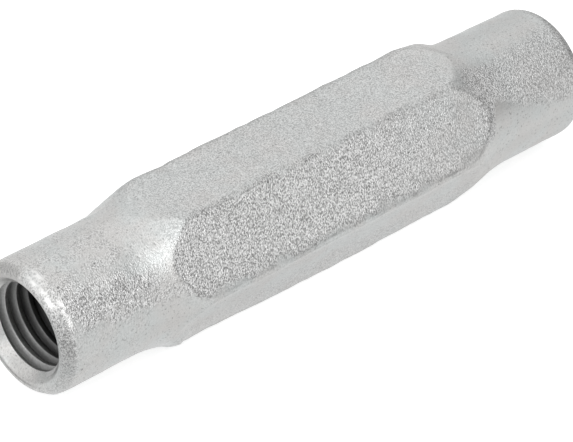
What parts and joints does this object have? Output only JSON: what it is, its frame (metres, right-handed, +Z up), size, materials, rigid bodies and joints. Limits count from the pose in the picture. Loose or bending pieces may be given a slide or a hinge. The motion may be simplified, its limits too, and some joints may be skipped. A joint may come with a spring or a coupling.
{
  "type": "coupling nut",
  "caption": "Forged coupling nut: round ends swell through hollow necks into a long hexagon. One mouth takes a left-hand threaded rod and the other a right-hand one.",
  "frame": {"origin": "middle of the nut, on the axis of the threads", "axes": "+X along the thread axis towards the right-hand threaded end, +Z up, square to the flat that the nut lies on"},
  "size_m": [0.127, 0.0306, 0.027],
  "materials": {
    "zinc_plated_steel": "pale grey zinc plating, dull and finely pitted over a blasted forging"
  },
  "bodies": {
    "root": {"nut_body": "zinc_plated_steel"}
  },
  "joints": []
}
